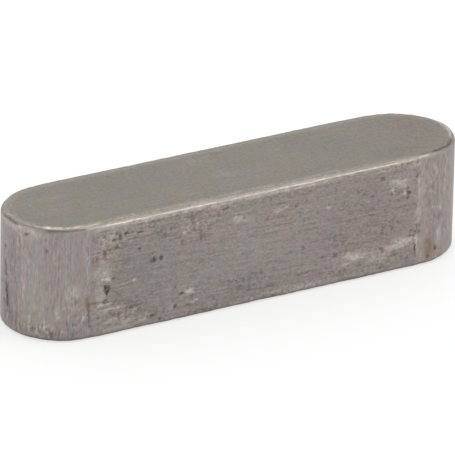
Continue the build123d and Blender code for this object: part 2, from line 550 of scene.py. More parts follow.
# Broad changes of tone on the wall: place, half width, half height, how much lighter (or
# darker, below 0), how pink (or green, below 0), and how scruffy, from 0 to 1.
WALL_PATCHES = (
    ((-7.6, 3.2), 1.6, 1.5, -0.07, -1.0, 0.0),
    ((-5.3, 4.9), 0.9, 0.8, -0.09, -0.9, 0.3),
    ((-7.2, 1.7), 1.1, 0.35, -0.08, -0.6, 0.2),
    ((-4.0, 2.4), 2.0, 1.0, 0.0, -0.9, 0.0),
    ((-0.5, 3.2), 2.2, 0.9, 0.03, -0.5, 0.0),
    ((-0.6, 1.0), 2.6, 0.6, -0.1, -0.6, 0.3),
    ((0.6, 5.5), 4.2, 0.22, -0.06, 0.1, 0.3),
    ((-8.95, 3.0), 0.4, 1.1, 0.09, 0.6, 0.3),
    ((-8.5, 5.1), 0.8, 0.6, 0.07, 0.4, 1.0),
    ((-8.8, 4.3), 0.6, 0.5, 0.02, 0.4, 0.8),
    ((-6.8, 5.15), 1.2, 0.5, -0.02, 0.2, 0.8),
    ((-3.6, 5.0), 1.2, 0.8, 0.0, 0.5, 0.8),
    ((-3.9, 5.3), 0.35, 0.4, -0.09, 0.6, 0.6),
    ((-3.2, 4.2), 0.5, 0.3, -0.07, 0.2, 0.4),
    ((-1.3, 4.6), 0.8, 0.5, 0.02, 0.5, 0.4),
    ((1.6, 4.4), 1.4, 0.6, -0.03, 0.4, 0.3),
    ((3.6, 3.8), 1.3, 0.9, -0.01, 0.4, 0.1),
    ((6.4, 3.2), 2.6, 1.8, -0.08, 0.9, 0.15),
    ((4.6, 4.2), 0.6, 0.5, -0.03, -0.7, 0.2),
    ((6.1, 4.1), 0.3, 0.4, -0.03, -0.8, 0.3),
    ((4.3, 2.4), 0.6, 0.4, -0.06, 0.5, 0.4),
    ((7.3, 2.5), 0.8, 0.5, -0.05, 0.4, 0.5),
    ((8.1, 4.7), 0.6, 0.5, 0.06, 0.3, 1.0),
    ((5.2, 1.35), 0.8, 0.25, 0.14, 0.4, 0.8),
    ((6.9, 1.3), 0.7, 0.25, 0.1, 0.3, 0.8),
    ((8.4, 1.6), 0.8, 0.25, 0.14, 0.3, 0.8),
    ((7.8, 0.85), 0.9, 0.22, -0.08, 0.5, 0.6),
    ((9.0, 2.0), 0.35, 0.3, -0.03, 0.1, 1.0),
    ((2.6, 0.9), 0.7, 0.3, -0.06, 0.5, 0.5),
    ((4.3, 0.8), 1.2, 0.3, -0.08, 0.7, 0.6),
    ((-5.9, 0.85), 0.6, 0.35, -0.09, 0.5, 0.7),
    ((-9.0, 1.3), 0.9, 0.5, 0.06, 0.5, 0.6),
    ((-7.6, 1.05), 1.2, 0.5, -0.03, 0.5, 0.8),
    ((-3.95, 1.4), 0.5, 0.3, 0.05, -0.2, 0.8),
    ((9.15, 3.3), 0.26, 2.2, 0.06, 0.3, 0.5),
    ((9.85, 3.6), 0.5, 2.6, 0.0, 0.1, 0.5),
    ((-9.75, 3.2), 0.25, 3.0, 0.02, 0.1, 0.6),
    ((left(53), 4.5), 0.5, 1.4, -0.05, 0.7, 0.3),
    ((left(64), 4.6), 0.35, 1.3, 0.03, -0.6, 0.2),
    ((left(52), 2.4), 0.5, 1.2, -0.02, 0.6, 0.4),
    ((left(66), 2.2), 0.3, 1.0, 0.05, 0.2, 0.4),
    ((left(74), 1.2), 0.6, 0.9, -0.05, -0.3, 0.8),
    ((left(37), 3.4), 0.4, 3.0, 0.02, -1.1, 0.0),
    ((left(27), 3.8), 0.6, 1.8, 0.07, -0.4, 0.3),
    ((left(11), 3.2), 0.45, 2.8, -0.06, -0.3, 0.4),
    ((left(18), 5.55), 1.4, 0.3, 0.08, -0.2, 0.5),
    ((left(-6), 2.4), 0.6, 2.2, -0.13, 0.6, 0.7),
    ((left(2), 0.9), 1.0, 0.5, -0.1, 0.0, 0.8),
    # The next three rows darken the wall along its base, a painted shade towards the floor, and
    # make the steel there scruffy.
    ((left(45), 0.6), 1.6, 0.5, -0.08, 0.2, 1.0),
    ((left(50), 0.15), 2.6, 0.4, -0.13, 0.0, 0.8),
    ((0.0, 0.25), 9.0, 0.35, -0.05, 0.1, 0.5),
    ((right(80), 3.0), 0.25, 3.0, -0.06, 0.3, 0.5),
    ((right(60), 3.0), 1.2, 3.0, -0.03, 0.2, 0.3),
)

# The same on the top, where a place is (x, y).
TOP_PATCHES = (
    ((-10.9, 0.8), 0.9, 0.9, 0.02, -1.2, 0.2),
    ((-9.9, 1.1), 1.1, 0.26, 0.06, 1.4, 0.3),
    ((-10.2, -0.3), 0.9, 0.3, 0.04, 0.7, 0.3),
    ((-9.0, -1.6), 1.8, 0.6, 0.0, -1.2, 0.1),
    ((-6.2, 1.2), 1.8, 1.0, -0.03, -0.3, 0.0),
    ((-4.7, 2.1), 0.4, 0.3, 0.0, 0.8, 0.2),
    ((-4.3, 0.5), 1.1, 0.9, 0.0, -0.6, 0.0),
    ((-0.95, 1.8), 0.7, 0.45, 0.07, 0.4, 0.4),
    ((-0.55, -0.4), 0.45, 0.4, 0.13, 0.7, 0.5),
    ((-0.6, -1.5), 0.6, 0.4, 0.04, -0.6, 0.2),
    ((1.0, -0.7), 0.8, 0.5, 0.02, 0.1, 0.1),
    ((0.9, 2.1), 0.6, 0.4, 0.0, 0.8, 0.2),
    ((2.9, 1.3), 0.5, 0.9, 0.03, 0.6, 0.2),
    ((4.5, 1.6), 0.9, 0.8, -0.05, -0.2, 0.1),
    ((5.8, 2.2), 0.6, 0.4, -0.04, 0.8, 0.2),
    ((6.5, 0.2), 1.4, 1.0, -0.04, -0.6, 0.1),
    ((10.6, 0.4), 1.9, 1.8, -0.07, 1.5, 0.2),
    ((8.6, -1.9), 1.3, 0.6, -0.09, 0.6, 0.3),
    ((3.5, -2.1), 1.4, 0.25, -0.05, 0.4, 0.4),
    ((-4.5, -2.1), 3.2, 0.22, -0.04, 0.1, 0.3),
    ((-3.6, -1.5), 0.6, 0.3, 0.03, 0.2, 0.2),
)

# The one wedge-shaped pit: its top corners and its foot.
WEDGE = ((-8.86, 2.72), (-8.42, 2.66), (-8.68, 2.12))

# Places round the edges that were broken more or less than the rest: where, how far each way,
# and how much larger the break is.
TOP_BREAKS = (
    (right(2), 1.1, -0.13),
    (left(-35), 1.8, 0.09),
    (right(-62), 1.9, 0.12),
)
BASE_BREAKS = (
    (left(-10), 1.6, -0.09),
    (right(30), 1.8, 0.12),
)

# Wear and a painted highlight on the top edge: where it starts and ends along the wall, the
# band it lies in, from the top face, below 0, over the corner, 0, to the wall, above 0, and how
# strong it is.
WEAR_AND_HIGHLIGHT_EDGES = (
    (left(-50), left(32), -0.09, -0.03, 0.26),
    (left(30), left(42), -0.13, -0.05, 0.4),
    (right(84), right(-30), -0.13, -0.06, 0.4),
    (right(36), right(-25), 0.0, 0.06, 0.4),
    (left(42), left(62), -0.18, -0.05, 1.15),
    (left(60), left(79), -0.18, -0.07, 0.8),
    (left(76), -8.9, -0.16, -0.08, 0.4),
    (left(82), -8.0, 0.03, 0.09, 0.22),
    (-8.9, 5.2, 0.07, 0.13, 0.6),
    (5.0, 8.9, 0.07, 0.13, 0.5),
    (-8.6, -2.5, -0.14, -0.1, 0.15),
    (9.05, 9.75, 0.0, 0.1, 0.35),
)
# Rubbed lighter beside it, with a painted sheen along the rims, given in the same way.
RUB_AND_SHEEN_EDGES = (
    (left(-60), left(32), -0.2, -0.02, 0.18),
    (left(72), 4.8, -0.26, 0.02, 0.24),
    (4.8, 9.3, -0.2, 0.02, 0.16),
    (-9.4, 4.8, 0.14, 0.33, 0.46),
    (4.8, 9.2, 0.14, 0.26, 0.3),
    (right(86), right(-20), -0.16, -0.06, 0.3),
    (right(26), right(-22), 0.0, 0.12, 0.45),
    (9.6, right(45), -0.02, 0.2, 0.06),
    (left(-20), left(38), 0.2, 0.5, 0.28),
    (left(12), left(32), 0.07, 0.24, 0.45),
)
# Painted shade along it, dark bands on the ends' chamfers and a dark line under the rim, given in
# the same way.
EDGE_SHADE_BANDS = (
    (left(-16), left(13), 0.07, 0.16, 0.66),
    (left(10), left(31), -0.02, 0.01, 0.42),
    (left(45), left(84), 0.01, 0.1, 0.72),
    (left(44), left(62), 0.08, 0.2, 0.26),
    (9.5, right(36), -0.15, -0.07, 0.6),
    (right(80), right(38), -0.14, -0.02, 0.85),
    (right(48), right(15), -0.06, 0.02, 0.4),
)

# How deep a mark of strength 1 goes, and how soft the wedge's sides are.
PIT_DEPTH = 0.022
LINE_DEPTH = 0.008
WEDGE_DEPTH = 0.05
WEDGE_BLUR = 0.035
SPOT_FIRMNESS = 1.5  # 1 fades evenly from the middle, and more leaves a firmer edge
STROKE_START, STROKE_END = (-0.05, 0.2), (1.05, 0.8)  # where a line fades, as shares of its run

# Chance pits behind: seed, how many, where along the wall they start and end, and their half
# widths. Then their heights, their shares of height to width, and their strengths.
CHANCE_PITS = (
    (11, 46, BACK_SEAM, BACK_SEAM + HALF_FLANK, (0.07, 0.17)),
    (12, 46, -BACK_SEAM - HALF_FLANK, -BACK_SEAM, (0.07, 0.17)),
    (13, 16, END_TIP, BACK_SEAM, (0.05, 0.12)),
    (14, 16, -BACK_SEAM, -END_TIP, (0.05, 0.12)),
)
CHANCE_HEIGHTS = (0.4, 5.6)
CHANCE_FLATNESS = (0.5, 1.1)
CHANCE_STRENGTHS = (0.3, 0.9)


def spot(u, v, place, half_width, half_height):
    """1 in the middle of a soft-edged oval, 0 outside it."""
    squared = ((u - place[0]) / half_width) ** 2 + ((v - place[1]) / half_height) ** 2
    return bell(squared**SPOT_FIRMNESS)


def spots(u, v, rows):
    """The strongest of a table's ovals at each point."""
    return strongest(spot(u, v, place, width, height) * strength
                     for place, width, height, strength in rows)


def stroke(u, v, start, end, half_width):
    """1 on a line between two places, fading to its ends and sides."""
    du, dv = end[0] - start[0], end[1] - start[1]
    run = math.hypot(du, dv)
    t = ((u - start[0]) * du + (v - start[1]) * dv) / run**2
    off = ((u - start[0]) * dv - (v - start[1]) * du) / run
    fade = ramp(t, *STROKE_START) * ramp(t, *STROKE_END)
    return bell((off / half_width) ** 2) * fade


def strokes(u, v, rows):
    """The strongest of a table's lines at each point."""
    return strongest(stroke(u, v, start, end, width) * strength
                     for start, end, width, strength in rows)


def wedge(u, v):
    """1 inside the wedge-shaped pit, 0 outside it."""
    inside = np.ones_like(u)
    for (au, av), (bu, bv) in zip(WEDGE, WEDGE[1:] + WEDGE[:1]):
        run = math.hypot(bu - au, bv - av)
        within = ((u - au) * (bv - av) - (v - av) * (bu - au)) / run
        inside = np.minimum(inside, ramp(within, -WEDGE_BLUR, WEDGE_BLUR))
    return inside


def scattered(seed, count, start, end, widths):
    """Random pits between two places along the wall."""
    rng = np.random.default_rng(seed)
    for _ in range(count):
        place = rng.uniform(start, end), rng.uniform(*CHANCE_HEIGHTS)
        width = rng.uniform(*widths)
        yield place, width, width * rng.uniform(*CHANCE_FLATNESS), rng.uniform(*CHANCE_STRENGTHS)


def all_pits():
    """The named pits, and chance ones on the back flank and the backs of the ends."""
    yield from PITS
    for row in CHANCE_PITS:
        yield from scattered(*row)


# --------------------------------------------------------------------------------------
# The shape
# --------------------------------------------------------------------------------------

SEAM_BLEND = 1.2  # how far each side of a seam the edge break changes size
KNOCK_SHARE, NICK_SHARE = 0.14, 0.07  # how much of the edge break the knocks and nicks change
SMALLEST_BREAK = 0.04  # before the knocks and nicks
SHOULDER = 1.5  # 1 rounds a broken edge fully, 2 leaves it a flat chamfer
SEAM_SHARPNESS = 24  # how narrow the cutter's step at a seam is
CLOSING_SLOT = 0.04  # half width of the narrow slot that closes the top and the base
CROWDING = 1.2  # above 1, rows on the top and base lie closer together towards their edge
WALL_SINK, FLAT_SINK = 0.6, 0.3  # how deep in the skin, as a share of it, each face lies
FLAT_RELIEF = 0.003  # depth of the waves on the top and the base
DRAWN_SHARES = (0.7, 0.5)  # of the waves and of the lines in the drawn flanks' depth
TOOLED_SHARES = (0.8, 0.4)  # of the cuts and of the chatter in the tool marks' depth
FRONT_ENDS = (0.66, 0.5)  # shares of an end's arc between which the named patches give way

# How much a mark's strength changes with the texture under it: the mean, then the change.
LINE_UNEVENNESS = (0.7, 0.5)
RUB_UNEVENNESS = (0.75, 0.5)
LINE_GRIME = 0.8  # how dirty a dark line is against a pit

# Broad patches: how far their outlines wander, and how warm they can add up to.
PATCH_SHIFT = (0.25, 0.15)
WARMEST = 1.5
CHANCE_LIGHTER, CHANCE_WARMER = 0.09, 1.1
CHANCE_SCRUFFY = (-0.05, 0.45)  # the pattern's values between which the steel turns scruffy


def steps(start, end, step):
    """Even places from start up to, but without, end."""
    count = max(2, round(abs(end - start) / step))
    return np.linspace(start, end, count, endpoint=False)


class Outline:
    """The line round the key: spine, facing and place along the wall of each of its points."""

    def __init__(self, sizes):
        flank = steps(-HALF_FLANK, HALF_FLANK, sizes.flank_step)
        turn = steps(0, math.pi, sizes.end_step / HALF_WIDTH)
        back = steps(HALF_FLANK, -HALF_FLANK, sizes.back_step)
        self.spine = np.concatenate([flank, HALF_FLANK + 0 * turn, back, -HALF_FLANK + 0 * turn])
        facing = np.concatenate([0 * flank, turn, math.pi + 0 * back, math.pi + turn])
        self.out_x, self.out_y = np.sin(facing), -np.cos(facing)
        # Half way along the back flank the place jumps from the far right to the far left.
        around = np.concatenate([
            flank,
            HALF_FLANK + HALF_WIDTH * turn,
            BACK_SEAM + (HALF_FLANK - back),
            BACK_SEAM + 2 * HALF_FLANK + HALF_WIDTH * turn])
        self.along = np.where(around > ALL_ROUND / 2, around - ALL_ROUND, around)
        # 1 on the milled ends, and 0 on the flanks and where the left end meets the back flank.
        self.milled = np.concatenate([0 * flank, 1 + 0 * turn, 0 * back, 1 + 0 * turn])
        self.milled[len(flank) + len(turn) + len(back)] = 0
        overrun = (self.along > HALF_FLANK - CUTTER_OVERRUN) & (self.along <= HALF_FLANK)
        self.milled[overrun] = 1
        self.swell = np.where(self.milled > 0, end_swell(self.along, sizes), 0)


def end_swell(along, sizes):
    """How far an end stands out from a half round: fuller at its corners, lower at its seams."""
    round_end = np.maximum(np.abs(along) - HALF_FLANK, 0) / HALF_WIDTH
    corner = np.sin(2 * round_end) ** 2
    seam = np.abs(np.cos(round_end)) ** SEAM_SHARPNESS
    return sizes.end_fullness * corner - sizes.seam_step * seam


def edge_break(along, at_flank, at_end, seed, changes):
    """The size of the edge break all round, uneven where the edge has taken knocks."""
    from_tip = np.abs(np.abs(along) - END_TIP)
    on_end = ramp(from_tip, END_ARC / 2 + SEAM_BLEND, END_ARC / 2 - SEAM_BLEND)
    size = at_flank + (at_end - at_flank) * on_end
    for place, width, larger in changes:
        size = size + larger * bell(((along - place) / width) ** 2)
    knocks = KNOCK_SHARE * pattern(along, 0 * along, EDGE_KNOCKS, seed)
    nicks = NICK_SHARE * pattern(along, 0 * along, EDGE_NICKS, seed)
    return np.maximum(size, SMALLEST_BREAK) * (1 + knocks + nicks)


class Rings:
    """Closed rings from the middle of the base, up the wall, to the middle of the top."""

    def __init__(self, outline, sizes):
        self.rows = []
        along = outline.along
        none = 0 * along
        top = edge_break(along, sizes.top_break, sizes.top_end_break, TOP_EDGE_SEED, TOP_BREAKS)
        base = edge_break(
            along, sizes.base_break, sizes.base_end_break, BASE_EDGE_SEED, BASE_BREAKS)
        innermost = HALF_WIDTH - CLOSING_SLOT
        for t in np.linspace(1, 0, sizes.base_rows, endpoint=False):
            self.rows.append((base + (innermost - base) * t**CROWDING, none, 0, -1))
        self.add_edge(base, sizes.edge_rows, bottom=True)
        count = round((HEIGHT - sizes.top_break - sizes.base_break) / sizes.height_step)
        for t in np.linspace(0, 1, count + 1)[1:-1]:
            self.rows.append((none, base + (HEIGHT - top - base) * t, 1, 0))
        self.add_edge(top, sizes.edge_rows, bottom=False)
        for t in np.linspace(0, 1, sizes.top_rows + 1)[1:]:
            self.rows.append((top + (innermost - top) * t**CROWDING, none + HEIGHT, 0, 1))
        inset, height, side, up = zip(*self.rows)
        self.inset, self.height = np.array(inset), np.array(height)
        self.side, self.up = np.array(side)[:, None], np.array(up)[:, None]

    def add_edge(self, size, rows, bottom):
        """A broken edge: a chamfer whose two shoulders are rubbed round."""
        turns = np.linspace(0, math.pi / 2, rows + 1)
        for turn in turns[::-1] if bottom else turns:
            side, up = math.cos(turn), math.sin(turn)
            inset = size * (1 - side**SHOULDER)
            drop = size * (1 - up**SHOULDER)
            height = drop if bottom else HEIGHT - drop
            self.rows.append((inset, height, side, -up if bottom else up))


def shared(share, one, other):
    """One value where the share is 1, the other where it is 0."""
    return share * one + (1 - share) * other


def uneven(texture, mean, change):
    """A strength that changes with the texture."""
    return mean + change * texture


def wall_relief(along, up, milled, sizes):
    """Depth of the wall's own texture below the true face."""
    drawn, tooled = (
        sum(part * pattern(along, up, kind) for part, kind in zip(parts, kinds))
        for parts, kinds in ((DRAWN_SHARES, (DRAWN_WAVES, DRAWN_LINES)),
                             (TOOLED_SHARES, (TOOL_CUTS, TOOL_CHATTER))))
    return shared(milled, sizes.tool_depth * tooled, sizes.draw_depth * drawn)


def marks(along, up, texture):
    """Depth, dirt, rubbed, rust: the four maps that the marks on the wall make."""
    # Uneven outlines, so that no mark is a clean oval.
    u, v = along, up
    for amount, kind_along, kind_up in WOBBLES:
        u = u + amount * pattern(along, up, kind_along)
        v = v + amount * pattern(along, up, kind_up)
    pits = spots(u, v, all_pits())
    lines = strokes(u, v, DARK_LINES) * uneven(texture, *LINE_UNEVENNESS)
    hole = wedge(u, v)
    depth = strongest((pits * PIT_DEPTH, lines * LINE_DEPTH, hole * WEDGE_DEPTH))
    grime = strongest((pits, LINE_GRIME * lines, hole))
    rubs = spots(u, v, RUBS) * uneven(texture, *RUB_UNEVENNESS)
    return depth, grime, np.maximum(strokes(u, v, LIGHT_LINES), rubs), spots(u, v, STAINS)


def tones(u, v, patches, seed):
    """Lightness, warmth and scruff: the maps that the broad patches make."""
    u = u + PATCH_SHIFT[0] * pattern(u, v, PATCH_SHIFT_ALONG, seed)
    v = v + PATCH_SHIFT[1] * pattern(u, v, PATCH_SHIFT_UP, seed)
    light, warm, scruff = (np.zeros_like(u) for _ in range(3))
    for place, width, height, lighter, pinker, scruffier in patches:
        shape = bell(((u - place[0]) / width) ** 2 + ((v - place[1]) / height) ** 2)
        light += shape * lighter
        warm += shape * pinker
        scruff = np.maximum(scruff, shape * scruffier)
    return light, np.clip(warm, -WARMEST, WARMEST), scruff


def chance_tones(u, v, seed):
    """The same three maps by chance, for the sides that carry no named patches."""
    light = CHANCE_LIGHTER * pattern(u, v, CHANCE_LIGHT, seed)
    warm = CHANCE_WARMER * pattern(u, v, CHANCE_WARM, seed)
    scruff = ramp(pattern(u, v, CHANCE_SCRUFF, seed), *CHANCE_SCRUFFY)
    return light, warm, scruff


def key_surface(sizes):
    """Points of the key in millimetres, ring by ring, and its maps: one value a point."""
    outline = Outline(sizes)
    rings = Rings(outline, sizes)
    shape = rings.inset.shape
    along = np.broadcast_to(outline.along, shape)
    milled = np.broadcast_to(outline.milled, shape)
    inward = (HALF_WIDTH - rings.inset) / HALF_WIDTH
    reach = HALF_WIDTH - rings.inset + outline.swell * inward
    x = outline.spine + reach * outline.out_x
    y = reach * outline.out_y

    texture = shared(milled, pattern(along, rings.height, END_TEXTURE),
                     pattern(along, rings.height, FLANK_TEXTURE))
    depth, grime, rubbed, rust = marks(along, rings.height, texture)
    wall = sizes.skin * WALL_SINK + wall_relief(along, rings.height, milled, sizes)
    flat = sizes.skin * FLAT_SINK + FLAT_RELIEF * pattern(x, y, FLAT_WAVES)

    # The relief sinks the wall sideways and the flat faces straight down or up.
    side = rings.side * (np.maximum(wall, 0) + depth)
    x = x - side * outline.out_x
    y = y - side * outline.out_y
    z = rings.height - rings.up * np.maximum(flat, 0)

    on_wall = rings.side**2
    front = ramp(np.abs(along), *(HALF_FLANK + share * END_ARC for share in FRONT_ENDS))
    above = (rings.up > 0) * 1.0
    wall_tones = zip(tones(along, rings.height, WALL_PATCHES, WALL_SEED),
                     chance_tones(along, rings.height, HIDDEN_WALL_SEED))
    flat_tones = zip(tones(x, y, TOP_PATCHES, TOP_SEED), chance_tones(x, y, HIDDEN_FLAT_SEED))
    light, warm, scruff = (
        shared(on_wall, shared(front, *wall_pair), shared(above, *flat_pair))
        for wall_pair, flat_pair in zip(wall_tones, flat_tones))
    # The edges give wear with a painted highlight, rubbing with a painted sheen, and painted shade,
    # which the worn, rubbed and grime maps carry.
    worn, bright, edge_shade = edge_maps(along, rings)
    maps = {
        "milled": milled * on_wall,
        "flat": np.broadcast_to(rings.up**2, shape),
        "grime": np.maximum(grime * on_wall, edge_shade),
        "rubbed": np.maximum(rubbed * on_wall, bright),
        "rust": rust * on_wall,
        "along": along,
        "light": light,
        "warm": warm,
        "scruff": scruff,
        "worn": worn,
    }
    return np.stack([x, y, z], axis=-1), maps


# The edges' maps. Each band's soft sides, along the edge and across it:
WEAR_AND_HIGHLIGHT_SOFT, RUB_AND_SHEEN_SOFT, EDGE_SHADE_SOFT = (0.25, 0.022), (0.3, 0.06), (0.22, 0.022)
DRIFT, JITTER = 0.026, 0.012  # how far the bands wander across the edge
WEAR_AND_HIGHLIGHT_LEAST = 0.48  # the share of its strength that a worn edge always keeps
# On the back edges, for wear with its painted highlight, rubbing with its painted sheen, and
# painted shade: strength, the band it lies in, and its soft side.
WEAR_AND_HIGHLIGHT_BEHIND = (0.65, 0.0, 0.11, 0.03)
RUB_AND_SHEEN_BEHIND = (0.14, -0.3, 0.0, 0.06)
EDGE_SHADE_BEHIND = (0.7, 0.06, 0.16, 0.03)


def edge_wear(along, over, rows, soft_along, soft_over):
    """The strongest of a table's bands at each point of the edges."""
    return strongest(
        band(along, start, end, soft_along) * band(over, low, high, soft_over) * strength
        for start, end, low, high, strength in rows)


def edge_maps(along, rings):
    """Where the edges are worn bright with a painted highlight, rubbed lighter with a painted
    sheen, and darkened, mostly by painted shade.
    """
    # 0 on the sharp corner, below 0 on the top, above 0 on the wall.
    over = HEIGHT - rings.height - rings.inset / 2
    over = over + DRIFT * pattern(along, 0 * along, EDGE_DRIFT)
    over = over + JITTER * pattern(along, 0 * along, EDGE_JITTER)
    fine, coarse = pattern(along, over, EDGE_FINE), pattern(along, over, EDGE_COARSE)
    kept = ramp(fine + 0.9 * coarse, -0.7, 0.35)
    worn = edge_wear(along, over, WEAR_AND_HIGHLIGHT_EDGES, *WEAR_AND_HIGHLIGHT_SOFT) * uneven(kept, WEAR_AND_HIGHLIGHT_LEAST, 1 - WEAR_AND_HIGHLIGHT_LEAST)
    rubbed = edge_wear(along, over, RUB_AND_SHEEN_EDGES, *RUB_AND_SHEEN_SOFT)
    rubbed = rubbed * uneven(0.7 * fine + 0.3 * coarse, mean=0.75, change=1)
    # Painted shade on the ends' chamfers and under the rim.
    edge_shade = edge_wear(along, over, EDGE_SHADE_BANDS, *EDGE_SHADE_SOFT) * uneven(fine, mean=0.85, change=0.3)
    # The same wear, painted highlights, sheen and shade, by chance, from a little behind the tips
    # of the ends.
    back = ramp(np.abs(along), END_TIP + 0.6, END_TIP + 1.6)
    wear_and_highlight_behind, rub_and_sheen_behind, edge_shade_behind = (
        strength * back * band(over, low, high, soft)
        for strength, low, high, soft in (WEAR_AND_HIGHLIGHT_BEHIND, RUB_AND_SHEEN_BEHIND, EDGE_SHADE_BEHIND))
    wear_and_highlight_behind = wear_and_highlight_behind * ramp(fine + coarse, -0.5, 0.6)
    edge_shade_behind = edge_shade_behind * ramp(np.abs(along), BACK_SEAM, BACK_SEAM - 0.6)
    edge_shade_behind = edge_shade_behind * ramp(coarse, -0.4, 0.3)
    # The lower edge only darkens, most half way round its break.
    under = (rings.up < 0) * 4 * rings.side**2 * rings.up**2 * uneven(fine, mean=0.45, change=0.3)
    edge_shade = np.clip(strongest((edge_shade, edge_shade_behind, under)), 0, 1)
    rubbed = np.clip(np.maximum(rubbed, rub_and_sheen_behind), 0, 1)
    return np.maximum(worn, wear_and_highlight_behind) * (1 - edge_shade), rubbed * (1 - edge_shade), edge_shade


def key_mesh(name, sizes):
    """A closed mesh of the key, in metres, with its maps as attributes of the points."""
    points, maps = key_surface(sizes)
    rings, around = points.shape[:2]
    index = np.arange(rings * around).reshape(rings, around)
    ahead = np.roll(index, -1, axis=1)
    wall = np.stack([index[:-1], ahead[:-1], ahead[1:], index[1:]], axis=-1).reshape(-1, 4)
    mesh = bpy.data.meshes.new(name)
    faces = wall.tolist()
    faces += spine_faces(points[0], index[0], upward=False)
    faces += spine_faces(points[-1], index[-1], upward=True)
    mesh.from_pydata((points.reshape(-1, 3) * MM).tolist(), [], faces)
    for title, values in maps.items():
        layer = mesh.attributes.new(title, "FLOAT", "POINT")
        layer.data.foreach_set("value", np.ascontiguousarray(values, dtype=np.float32).ravel())
    mesh.shade_smooth()
    if mesh.validate():
        raise RuntimeError("the key's mesh has faults")
    return mesh


def spine_faces(ring, index, upward):
    """Faces that close the last narrow slot along the middle of the top or the base."""
    order = np.argsort(ring[:, 0], kind="stable")
    front = [i for i in order if ring[i, 1] <= 0]
    behind = [i for i in order if ring[i, 1] > 0]
    faces = []
    i = j = 0
    while i < len(front) - 1 or j < len(behind) - 1:
        step_front = j == len(behind) - 1 or (
            i < len(front) - 1 and ring[front[i + 1], 0] <= ring[behind[j + 1], 0])
        a, b = index[front[i]], index[behind[j]]
        if step_front:
            i += 1
            c = index[front[i]]
        else:
            j += 1
            c = index[behind[j]]
        faces.append([a, c, b] if upward else [a, b, c])
    return [[int(v) for v in face] for face in faces]


# --------------------------------------------------------------------------------------
# The steel
# --------------------------------------------------------------------------------------

# How the steel's colour wanders, as shares of its red, green and blue.
GREENISH, PINKISH = (0.93, 1.02, 1.01), (1.07, 0.98, 1.0)
WALL_BLUISH, WALL_YELLOWISH = (0.99, 1.0, 1.045), (1.01, 1.0, 0.950)
FLAT_BLUISH, FLAT_YELLOWISH = (0.98, 0.99, 1.08), (1.02, 1.01, 0.90)

# How strongly each pattern changes the shade: on a flank, then on a milled end or a flat face.
MOTTLE_SHADE = (0.50, 0.36)
LINE_SHADE = (-0.10, 0.0)
STREAK_SHADE_ON_FLAT = (0.55, 0.20)
STREAK_SHARE_ON_END = (1.0, 0.80)
SHADE_SHARE_ON_FLAT = (1.0, 0.66)
SHADE_SHARE_ON_END = (1.0, 0.78)
SCRUFF_GAIN = (0.85, 1.7)  # from clean steel to the scruffiest
GRAIN_SHADE, SPECKLE_SHADE, LIGHT_SHADE = 0.80, 0.30, 1.15
BASE_SHADE = 0.96
BUMP_STRENGTH, BUMP_HEIGHT = 0.55, 0.006
BUMP_SHARE = 0.7  # of the streaks and the grain together
ROUGHER_MOTTLE, SMOOTHER_WEAR, ROUGHER_GRIME = 0.30, -0.14, 0.25
FLECK_SHARE, SPECK_SHARE = 0.55, 0.6

# How often the patterns change each way: along x, y and z, or along the wall and up it.
DRAWN_STRETCH, MOTTLE_STRETCH = (0.6, 7.0, 7.0), (1.0, 1.4, 1.4)
WALL_GRAIN_STRETCH, FLAT_GRAIN_STRETCH = (0.70, 1.1, 1.1), (0.85, 0.75, 0.9)
PINK_STRETCH, YELLOW_STRETCH = (1.0, 1.2, 1.2), (1.3, 1.0, 1.0)
TOOLED_STRETCH, UPRIGHT_STRETCH = (11.0, 0.35), (1.3, 0.30)

# The values of each pattern between which an effect goes from none to whole, and then, where
# it isn't from 0 to 1, what the effect goes from and to.
DRAWN_TO_LINES = (0.40, 0.30)
PINK_TO_WARMTH, WARMTH_TO_TINT = (0.25, 0.75, -1.8, 1.8), (-2.4, 2.4)
YELLOW_TO_TINT = (0.25, 0.75)
NOISE_TO_FLECKS, SPECKLE_TO_SPECKS = (0.56, 0.70), (0.40, 0.28)
MOTTLE_TO_BREAKS = (0.75, 1.2, 0.35, 1.25)
GRAIN_TO_WEAR_AND_HIGHLIGHT, GRAIN_TO_GRIME_AND_SHADE = (0.3, 0.6, 0.6, 1.1), (0.3, 0.65, 1.3, 0.65)
RUB_AND_SHEEN_GAIN = 1.3


